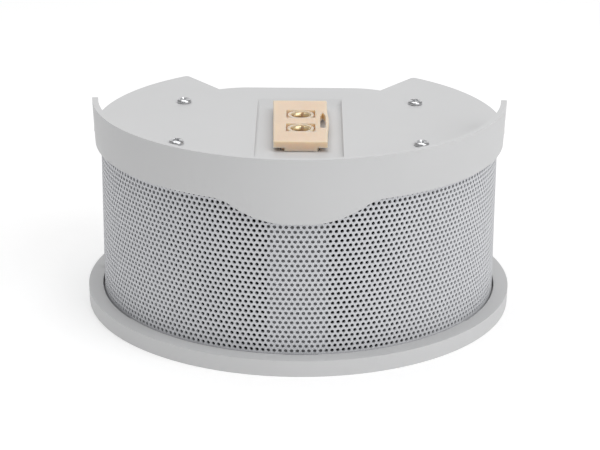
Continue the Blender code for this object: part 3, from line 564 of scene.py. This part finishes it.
def web_faces(rings):
    """What joins each ring to its neighbours, and fills each gap between three rings."""
    faces = []
    for row in rings:
        for a, b in zip(row, row[1:]):
            faces.append([corner(a, 337.5), corner(b, 202.5), corner(b, 157.5),
                          corner(a, 22.5)])
    for index, (lower, upper) in enumerate(zip(rings, rings[1:])):
        # An odd row starts half a pitch inside an even one and has one hole fewer.
        for i, a in enumerate(lower):
            right = i if index % 2 == 0 else i + 1
            left = right - 1
            has_left, has_right = 0 <= left < len(upper), 0 <= right < len(upper)
            if has_right:
                c = upper[right]
                faces.append([corner(a, 67.5), corner(a, 22.5), corner(c, 247.5),
                              corner(c, 202.5)])
            if has_left:
                c = upper[left]
                faces.append([corner(a, 157.5), corner(a, 112.5), corner(c, 337.5),
                              corner(c, 292.5)])
            if has_left and has_right:
                faces.append([corner(a, 112.5), corner(a, 67.5), corner(upper[right], 202.5),
                              corner(upper[left], 337.5)])
            if i + 1 < len(lower) and has_right:
                b, c = lower[i + 1], upper[right]
                faces.append([corner(a, 22.5), corner(b, 157.5), corner(c, 292.5),
                              corner(c, 247.5)])
    return faces


def add_point(points, along, z):
    points.append((along, z))
    return len(points) - 1


def border_faces(points, rings):
    """The plain margins along the bottom and the top, and their edge points."""
    faces, borders = [], {}
    reach = HOLE_RADIUS * math.cos(math.radians(22.5))
    for name, row, z, near in (("low", rings[0], SHEET_LOW, (247.5, 292.5, 337.5, 202.5)),
                               ("top", rings[-1], SHEET_TOP, (112.5, 67.5, 22.5, 157.5))):
        marks = [add_point(points, points[corner(a, 22.5)][0] - reach, z) for a in row]
        borders[name] = marks
        for a, mark in zip(row, marks):
            face = [mark, corner(a, near[1]), corner(a, near[0])]
            faces.append(face if name == "top" else face[::-1])
        for a, b, m, n in zip(row, row[1:], marks, marks[1:]):
            face = [m, n, corner(b, near[0]), corner(b, near[3]), corner(a, near[2]),
                    corner(a, near[1])]
            faces.append(face[::-1] if name == "top" else face)
    return faces, borders


def end_faces(points, rings, borders, side):
    """The plain margin at one end: side is -1 for the left, 1 for the right."""
    faces = []
    end = side * math.radians(GRILLE_END) * GRILLE_RADIUS
    outer = [row[0] if side < 0 else row[-1] for row in rings]
    marks = [add_point(points, end, (points[corner(a, 22.5)][1] + points[corner(a, 337.5)][1]) / 2)
             for a in outer]
    low, top = add_point(points, end, SHEET_LOW), add_point(points, end, SHEET_TOP)

    def near(ring, degrees):
        return corner(ring, degrees if side < 0 else (180.0 - degrees) % 360.0)

    for index, (a, mark) in enumerate(zip(outer, marks)):
        face = [mark, near(a, 202.5), near(a, 157.5)]
        faces.append(face if side < 0 else face[::-1])
        if index + 1 == len(outer):
            continue
        c = outer[index + 1]
        if index % 2 == 0:
            path = [near(a, 157.5), near(a, 112.5), near(a, 67.5), near(c, 202.5)]
        else:
            path = [near(a, 157.5), near(c, 292.5), near(c, 247.5), near(c, 202.5)]
        face = [mark, *path, marks[index + 1]]
        faces.append(face if side < 0 else face[::-1])
    for name, mark, tip, a, first, second in (
            ("low", marks[0], low, outer[0], 247.5, 202.5),
            ("top", marks[-1], top, outer[-1], 112.5, 157.5)):
        rim = borders[name][0 if side < 0 else -1]
        face = [tip, rim, near(a, first), near(a, second), mark]
        faces.append(face[::-1] if (side > 0) != (name == "top") else face)
    return faces


def grille():
    """One bent sheet with every hole cut through it; a hole is an eight-sided ring."""
    points, rings = hole_rings()
    faces = web_faces(rings)
    margins, borders = border_faces(points, rings)
    faces += margins
    for side in (-1, 1):
        faces += end_faces(points, rings, borders, side)
    item = linked("grille_sheet", solid_sheet(points, faces))
    smooth(item, 40.0)
    return piece(item, "grey_sheet", "grille")


def solid_sheet(points, faces):
    """Bend the flat pattern round the drum and give it the sheet's thickness."""
    count = len(points)
    verts = []
    for radius in (GRILLE_RADIUS, GRILLE_RADIUS - SHEET):
        for along, z in points:
            x, y = polar(radius, math.degrees(along / GRILLE_RADIUS))
            verts.append((x, y, z))
    used = {(a, b): True for face in faces for a, b in zip(face, face[1:] + face[:1])}
    walls = [[b, a, a + count, b + count] for a, b in used if (b, a) not in used]
    back = [[i + count for i in reversed(face)] for face in faces]
    mesh = bpy.data.meshes.new("grille_sheet")
    mesh.from_pydata(verts, [], faces + back + walls)
    mesh.validate()
    return mesh


# ---------------------------------------------------------------- shells

def fused(item, distance=0.02 * MM):
    """Weld the specks that cutting leaves."""
    work = bmesh.new()
    work.from_mesh(item.data)
    bmesh.ops.remove_doubles(work, verts=work.verts, dist=distance)
    bmesh.ops.dissolve_degenerate(work, edges=work.edges, dist=distance)
    work.to_mesh(item.data)
    work.free()
    return item


def lip_fillet(sign, radius=2.6 * MM):
    """The quarter hollow that leads from the end of the lip down to the plate."""
    outline = [(-1.0 * MM, PLATE_TOP - 1.0 * MM), (radius, PLATE_TOP - 1.0 * MM)]
    for i in range(9):
        turn = math.radians(90.0 * i / 8)
        outline.append((radius * (1 - math.sin(turn)), PLATE_TOP + radius * (1 - math.cos(turn))))
    outline.append((-1.0 * MM, PLATE_TOP + radius))
    item = flat(f"lip_fillet_{sign}", [outline], -CAP_RADIUS - 5 * MM,
                -CAP_RADIUS + 5 * MM)
    item.data.transform(Matrix.Rotation(math.pi / 2, 4, "X"))
    # The outline runs along +X at y = radius; turn it to the end of the lip.
    item.data.transform(Matrix.Rotation(math.radians(LIP_END - 180.0), 4, "Z"))
    ends = strip(CAP_RADIUS, LIP_THICK, LIP_END - 3.0, LIP_END + 6.0)
    band = flat("fillet_band", [ends], 60 * MM, 80 * MM)
    combine(item, band, "INTERSECT")
    if sign < 0:
        item.data.transform(Matrix.Scale(-1.0, 4, (1.0, 0.0, 0.0)))
        item.data.flip_normals()
    return item


def channel():
    """The channel's cutter; at the rear its floor slopes up to the plate."""
    high = 70 * MM
    run = (high - CHANNEL_FLOOR) / math.tan(CHANNEL_SLOPE)
    cutter = box("channel", (-CHANNEL_HALF, CHANNEL_FRONT, CHANNEL_FLOOR),
                 (CHANNEL_HALF, CHANNEL_BACK, high))
    for vertex in cutter.data.vertices:
        if vertex.co.y > 0.0 and vertex.co.z > PLATE_TOP:
            vertex.co.y += run
    return cutter


def cap():
    item = flat("top_shell", [drum_outline(CAP_RADIUS, 0.0)], SCALLOP_LOW - 2 * MM, LIP_TOP)
    draft(item, CAP_DRAFT, CAP_DRAFT_LEVEL, CAP_RADIUS)
    inside = CAP_RADIUS - LIP_THICK
    under = flat("under", [drum_outline(SKIRT_INSIDE, LIP_THICK)], 40 * MM, PLATE_LOW)
    combine(under, box("pad", (-PAD_HALF, PAD_Y[0], PAD_LOW), (PAD_HALF, PAD_Y[1], 70 * MM)))
    combine(item, under)
    far = 95 * MM
    above = [*arc(inside, -LIP_END, LIP_END), polar(far, LIP_END), (far, far), (-far, far),
             polar(far, -LIP_END)]
    above = flat("above", [above], PLATE_TOP, 90 * MM)
    combine(item, draft(above, CAP_DRAFT, CAP_DRAFT_LEVEL, CAP_RADIUS))
    band = flat("band", [arc(far, 0.0, 355.0, 5.0)], 40 * MM, SKIRT_LOW)
    tongue = flat("tongue", [scallop_outline()], -far - 5 * MM, -50 * MM)
    tongue.data.transform(Matrix.Scale(-1.0, 4, (0.0, 0.0, 1.0)))
    tongue.data.transform(Matrix.Rotation(math.pi / 2, 4, "X"))
    tongue.data.flip_normals()
    combine(item, combine(band, tongue))
    for sign in (1, -1):
        combine(item, lip_fillet(sign), "UNION")
    fused(item)
    soften(item, 0.5 * MM, 3)
    combine(item, channel())
    combine(item, box("opening", (PLUG_X - PLUG_BODY_HALF - GAP, PLUG_BODY_Y[0] - GAP, 50 * MM),
                      (PLUG_X + PLUG_BODY_HALF + GAP, PLUG_BODY_Y[1] + GAP, 70 * MM)))
    for _, at in corners():
        combine(item, rod("hole", SHANK + SCREW_PLAY, 60 * MM, 70 * MM, 32, at))
    smooth(item, 30.0)
    return piece(item, "grey_plastic", "top_cap")


def base():
    item = flat("base_body", [drum_outline(BASE_RADIUS, 0.0)], 0.0, BASE_TOP)
    fused(draft(item, BASE_DRAFT, BASE_TOP, BASE_RADIUS))
    soften(item, 0.9 * MM, 4)
    above = 9 * MM
    combine(item, flat("pocket", [drum_outline(*BASE_HOLLOW)], FLOOR_TOP, above))
    for _, at in corners():
        combine(item, rod("boss", BOSS, 1 * MM, POST_LOW - GAP, 40, at), "UNION")
        combine(item, rod("hole", SHANK + SCREW_PLAY, -1 * MM, above, 32, at))
        combine(item, rod("head", HEAD_HOLE, -1 * MM, BASE_SCREW_SEAT + 0.2 * MM, 40, at))
    groove = strip(GRILLE_RADIUS + GAP, SHEET + 2 * GAP, -GRILLE_END - 1, GRILLE_END + 1)
    combine(item, flat("groove", [groove], BASE_TOP - GROOVE_DEPTH, above))
    for sign in SIDES.values():
        slot = round_slot(DRAIN_RADIUS, DRAIN_RADIUS - DRAIN_WIDTH, *DRAIN_ENDS)
        slot = mirrored(slot) if sign < 0 else slot
        combine(item, flat("drain", [slot], BASE_TOP - DRAIN_DEPTH, above))
    width, depth, start, end = FRONT_NOTCH
    notch = strip(DRAIN_RADIUS, width, start, end)
    combine(item, flat("notch", [notch], BASE_TOP - depth, above))
    smooth(item, 30.0)
    return piece(item, "grey_plastic", "base_plate")


def rear_shell():
    outer = wing_path(GRILLE_RADIUS, HOUSING_INSET, HOUSING_START, 2.0 * MM)
    inner = wing_path(GRILLE_RADIUS - HOUSING_WALL, HOUSING_INSET + HOUSING_WALL, HOUSING_START,
                      0.4 * MM)
    outline = outer + mirrored(outer) + list(reversed(mirrored(inner))) + list(reversed(inner))
    item = flat("rear_shell", [outline], WALL_LOW, WALL_TOP)
    soften(fused(item), 0.4 * MM, 2)
    for sign in SIDES.values():
        at = (sign * POST_REAR[0], POST_REAR[1])
        along = Vector((sign * RIB_FOOT[0], RIB_FOOT[1])) - Vector(at)
        rib = box("rib", (0.0, -RIB_HALF, WALL_LOW + 0.5 * MM),
                  (along.length, RIB_HALF, WALL_TOP - 0.5 * MM))
        rib.data.transform(Matrix.Translation((*at, 0.0))
                           @ Matrix.Rotation(math.atan2(along.y, along.x), 4, "Z"))
        guide = box("guide", (sign * GUIDE_X[0], GUIDE_Y[0], WALL_LOW + 1 * MM),
                    (sign * GUIDE_X[1], GUIDE_Y[1], GUIDE_TOP))
        post = rod("post", POST, POST_LOW, SEAL_TOP, 40, at)
        for other in (rib, guide, post):
            combine(item, other, "UNION")
        for low, high in PILOTS:
            combine(item, rod("pilot", SHANK + PILOT_PLAY, low, high, 32, at))
    combine(item, box("slot", (-SLOT_HALF, SLOT_Y[0], SLOT_LOW), (SLOT_HALF, SLOT_Y[1], 70 * MM)))
    smooth(item, 30.0)
    return piece(item, "grey_plastic", "rear_housing")


# ---------------------------------------------------------------- connector

def plug_outline():
    """The head from above: its right side bulges at the arm of the snap latch."""
    left, right = PLUG_X - HEAD_HALF, PLUG_X + HEAD_HALF
    start, end = BULGE_Y
    bulge = [(right + LATCH_BULGE * math.sin(math.pi * i / 18), start + (end - start) * i / 18)
             for i in range(19)]
    return [(left + HEAD_LEAN, HEAD_FRONT), (right, HEAD_FRONT), *bulge, (right, HEAD_BACK),
            (left - HEAD_LEAN, HEAD_BACK)]


def latch_slot():
    """A slot with a round front end and a pointed rear end, which frees the latch's arm."""
    front, shoulder, point = LATCH_Y
    right = [(LATCH_X + LATCH_HALF, shoulder), (LATCH_X + 0.1 * MM, point)]
    left = [(LATCH_X - 0.1 * MM, point), (LATCH_X - LATCH_HALF, shoulder)]
    return [*arc(LATCH_HALF, -90.0, 90.0, 10.0, (LATCH_X, front)), *right, *left]


def plug():
    item = flat("plug_body", [plug_outline()], HEAD_LOW, HEAD_TOP)
    round_edges(item, 0.45 * MM, 4, lambda edge: all(
        vertex.co.z > HEAD_TOP - 0.01 * MM for vertex in edge.verts)
        and len({round(face.normal.z) for face in edge.link_faces}) > 1)
    body = box("body", (PLUG_X - PLUG_BODY_HALF, PLUG_BODY_Y[0], PLUG_BODY_LOW),
               (PLUG_X + PLUG_BODY_HALF, PLUG_BODY_Y[1], HEAD_LOW + 0.5 * MM))
    front = box("front", (TONGUE_X[0], HEAD_FRONT + 0.02 * MM, TONGUE_LOW),
                (TONGUE_X[1], PLUG_BODY_Y[0] + 1 * MM, HEAD_LOW + 0.9 * MM))
    combine(combine(item, body, "UNION"), front, "UNION")
    above = HEAD_TOP + 5 * MM
    combine(item, flat("latch", [latch_slot()], 60 * MM, above))
    across, along = POCKET_HALF
    for y in SOCKET_Y.values():
        at = (SOCKET_X, y)
        pocket = box("pocket", (SOCKET_X - across, y - along, HEAD_TOP - POCKET_DEPTH),
                     (SOCKET_X + across, y + along, above))
        high, low = HEAD_TOP - COLLAR_DEPTH, HEAD_TOP - POCKET_DEPTH - 1 * MM
        bore = SOCKET_BORE - 0.6 * MM
        collar = turned("collar", [(COLLAR_RADIUS, high), (COLLAR_RADIUS, low), (bore, low),
                                   (bore, high)], 64, closed=True)
        collar.data.transform(Matrix.Translation((*at, 0.0)))
        combine(item, combine(pocket, collar))
        combine(item, rod("bore", SOCKET_BORE, SOCKET_FLOOR, above, 64, at))
        combine(item, rod("tail_hole", TAIL_HOLE, 50 * MM, above, 32, at))
    smooth(fused(item, 0.005 * MM), 32.0)
    return piece(item, "beige_plastic", "connector_housing")


def contact(place, y):
    """A gold barrel split into four sprung fingers, with a tail for its lead."""
    low, foot = SOCKET_FLOOR + 0.5 * MM, SOCKET_FLOOR + 1.7 * MM
    top, tail = HEAD_TOP - 0.6 * MM, TAIL_HOLE - 0.3 * MM
    profile = [(0.0, foot), (CONTACT_BORE, foot), (CONTACT_BORE, top - 3.0 * MM),
               (CONTACT_BORE - 0.25 * MM, top - 1.6 * MM), (CONTACT_BORE - 0.1 * MM, top - 0.6 * MM),
               (CONTACT_BORE + 0.25 * MM, top - 0.06 * MM), (CONTACT_BORE + 0.35 * MM, top),
               (CONTACT_RADIUS - 0.1 * MM, top), (CONTACT_RADIUS, top - 0.15 * MM),
               (CONTACT_RADIUS, low + 0.2 * MM), (CONTACT_RADIUS - 0.2 * MM, low),
               (tail, low), (tail, TAIL_LOW + 0.3 * MM), (tail - 0.3 * MM, TAIL_LOW),
               (0.0, TAIL_LOW)]
    item = turned("barrel_" + place, profile, 72)
    half, reach = 0.55 * MM, 2 * CONTACT_RADIUS
    for quarter in range(2):
        cut = box("cut", (-reach, -half, foot + 1 * MM), (reach, half, HEAD_TOP + 1 * MM))
        cut.data.transform(Matrix.Rotation(math.radians(FINGER_TURN + 90.0 * quarter), 4, "Z"))
        combine(item, cut)
    item.data.transform(Matrix.Translation((SOCKET_X, y, 0.0)))
    smooth(item, 30.0)
    return piece(item, "gold", "contact_" + place)


# ---------------------------------------------------------------- screws

def cross(arm, half):
    """Outline of a cross recess."""
    return [(arm, -half), (arm, half), (half, half), (half, arm), (-half, arm), (-half, half),
            (-arm, half), (-arm, -half), (-half, -half), (-half, -arm), (half, -arm),
            (half, -half)]


def tapered(name, lower, low, upper, high):
    """A solid between two outlines of as many points."""
    count = len(lower)
    verts = [(x, y, low) for x, y in lower] + [(x, y, high) for x, y in upper]
    faces = [list(reversed(range(count))), list(range(count, 2 * count))]
    faces += [[i, (i + 1) % count, count + (i + 1) % count, count + i] for i in range(count)]
    mesh = bpy.data.meshes.new(name)
    mesh.from_pydata(verts, [], faces)
    return linked(name, mesh)


def screw(name, node, matrix, turn):
    """A pan head screw with a cross recess and its thread."""
    head, high = SCREW_HEAD, SCREW_HEIGHT
    profile = [(0.0, high), (0.35 * head, 0.99 * high), (0.62 * head, 0.94 * high),
               (0.80 * head, 0.81 * high), (0.91 * head, 0.62 * high), (0.98 * head, 0.38 * high),
               (head, 0.14 * high), (0.98 * head, 0.0), (SHANK, 0.0)]
    root, pitch = 0.78 * SHANK, 0.7 * MM
    for i in range(int((SCREW_LENGTH - 1.6 * MM) / pitch)):
        z = -0.4 * MM - i * pitch
        profile += [(root, z), (root, z - 0.3 * pitch), (SHANK, z - 0.6 * pitch),
                    (root, z - 0.9 * pitch)]
    profile += [(root, -SCREW_LENGTH + 1.0 * MM), (0.0, -SCREW_LENGTH)]
    item = turned(name, profile, 40)
    recess = tapered("recess", cross(0.36 * head, 0.12 * head), 0.1 * high,
                     cross(0.66 * head, 0.2 * head), 1.1 * high)
    recess.data.transform(Matrix.Rotation(math.radians(turn), 4, "Z"))
    combine(item, recess)
    smooth(item, 32.0)
    item.data.transform(matrix)
    return piece(item, "steel", node)


def screws():
    turns = {"rear_left": 20.0, "rear_right": 62.0, "front_left": 38.0, "front_right": 8.0}
    down = Matrix.Rotation(math.pi, 4, "X")
    for place, (x, y) in corners():
        screw("pan_screw_" + place, "cap_screw_" + place,
              Matrix.Translation((x, y, SCREW_SEAT)), turns[place])
        screw("floor_screw_" + place, "base_screw_" + place,
              Matrix.Translation((x, y, BASE_SCREW_SEAT)) @ down, turns[place] + 15.0)


def dress_nodes():
    """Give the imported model's own solids the scene's materials, slot by slot."""
    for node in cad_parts.values():
        for slot in node.material_slots:
            slot.material = MATERIALS[slot.material.name.split(".")[0]]


# ---------------------------------------------------------------- the set

def area_light(name, place, aim, size, energy, colour=(1.0, 1.0, 1.0)):
    lamp = bpy.data.lights.new(name, "AREA")
    lamp.shape = "RECTANGLE"
    lamp.size, lamp.size_y = size
    lamp.energy = energy
    lamp.color = colour
    item = bpy.data.objects.new(name, lamp)
    bpy.context.scene.collection.objects.link(item)
    item.location = place
    item.rotation_euler = (Vector(aim) - Vector(place)).to_track_quat("-Z", "Y").to_euler()


def studio():
    world = bpy.data.worlds.new("studio")
    world.use_nodes = True
    sky = world.node_tree.nodes["Background"]
    sky.inputs["Color"].default_value = (1.0, 1.0, 1.0, 1.0)
    sky.inputs["Strength"].default_value = 0.33
    bpy.context.scene.world = world
    bpy.context.scene.view_settings.view_transform = "Standard"
    area_light("key", (0.67, -0.60, 0.80), (0.0, 0.0, 0.05), (1.0, 1.0), 5.8)
    area_light("back", (0.0, 1.60, 0.75), (0.0, 0.0, 0.05), (2.4, 1.0), 5.5)
    area_light("top", (-0.10, 0.00, 1.10), (0.0, 0.0, 0.05), (0.9, 0.9), 5.3)
    floor = box("floor", (-4.0, -4.0, -0.02), (4.0, 4.0, 0.0))
    pale = surface("pale_floor", (0.78, 0.78, 0.78), 0.8, 220.0, 0.02 * MM, 0.004, 3.0)
    glow = pale.node_tree.nodes["Principled BSDF"]
    glow.inputs["Emission Color"].default_value = (1.0, 1.0, 1.0, 1.0)
    glow.inputs["Emission Strength"].default_value = 0.34
    floor.data.materials.append(pale)


def camera():
    eye = Vector((2.146, -768.908, 311.815)) * MM
    pitch, yaw, roll = 20.312, -0.124, 0.386
    lens = bpy.data.cameras.new("photo_view")
    lens.sensor_width = 36.0
    lens.lens = 129.33
    lens.clip_start, lens.clip_end = 0.01, 20.0
    item = bpy.data.objects.new("photo_view", lens)
    bpy.context.scene.collection.objects.link(item)
    item.matrix_world = (Matrix.Translation(eye)
                         @ Matrix.Rotation(math.radians(-yaw), 4, "Z")
                         @ Matrix.Rotation(math.radians(90.0 - pitch), 4, "X")
                         @ Matrix.Rotation(math.radians(roll), 4, "Z"))
    bpy.context.scene.camera = item


MATERIALS = make_materials()
cap()
base()
rear_shell()
grille()
plug()
for socket, at_y in SOCKET_Y.items():
    contact(socket, at_y)
screws()
dress_nodes()
studio()
camera()
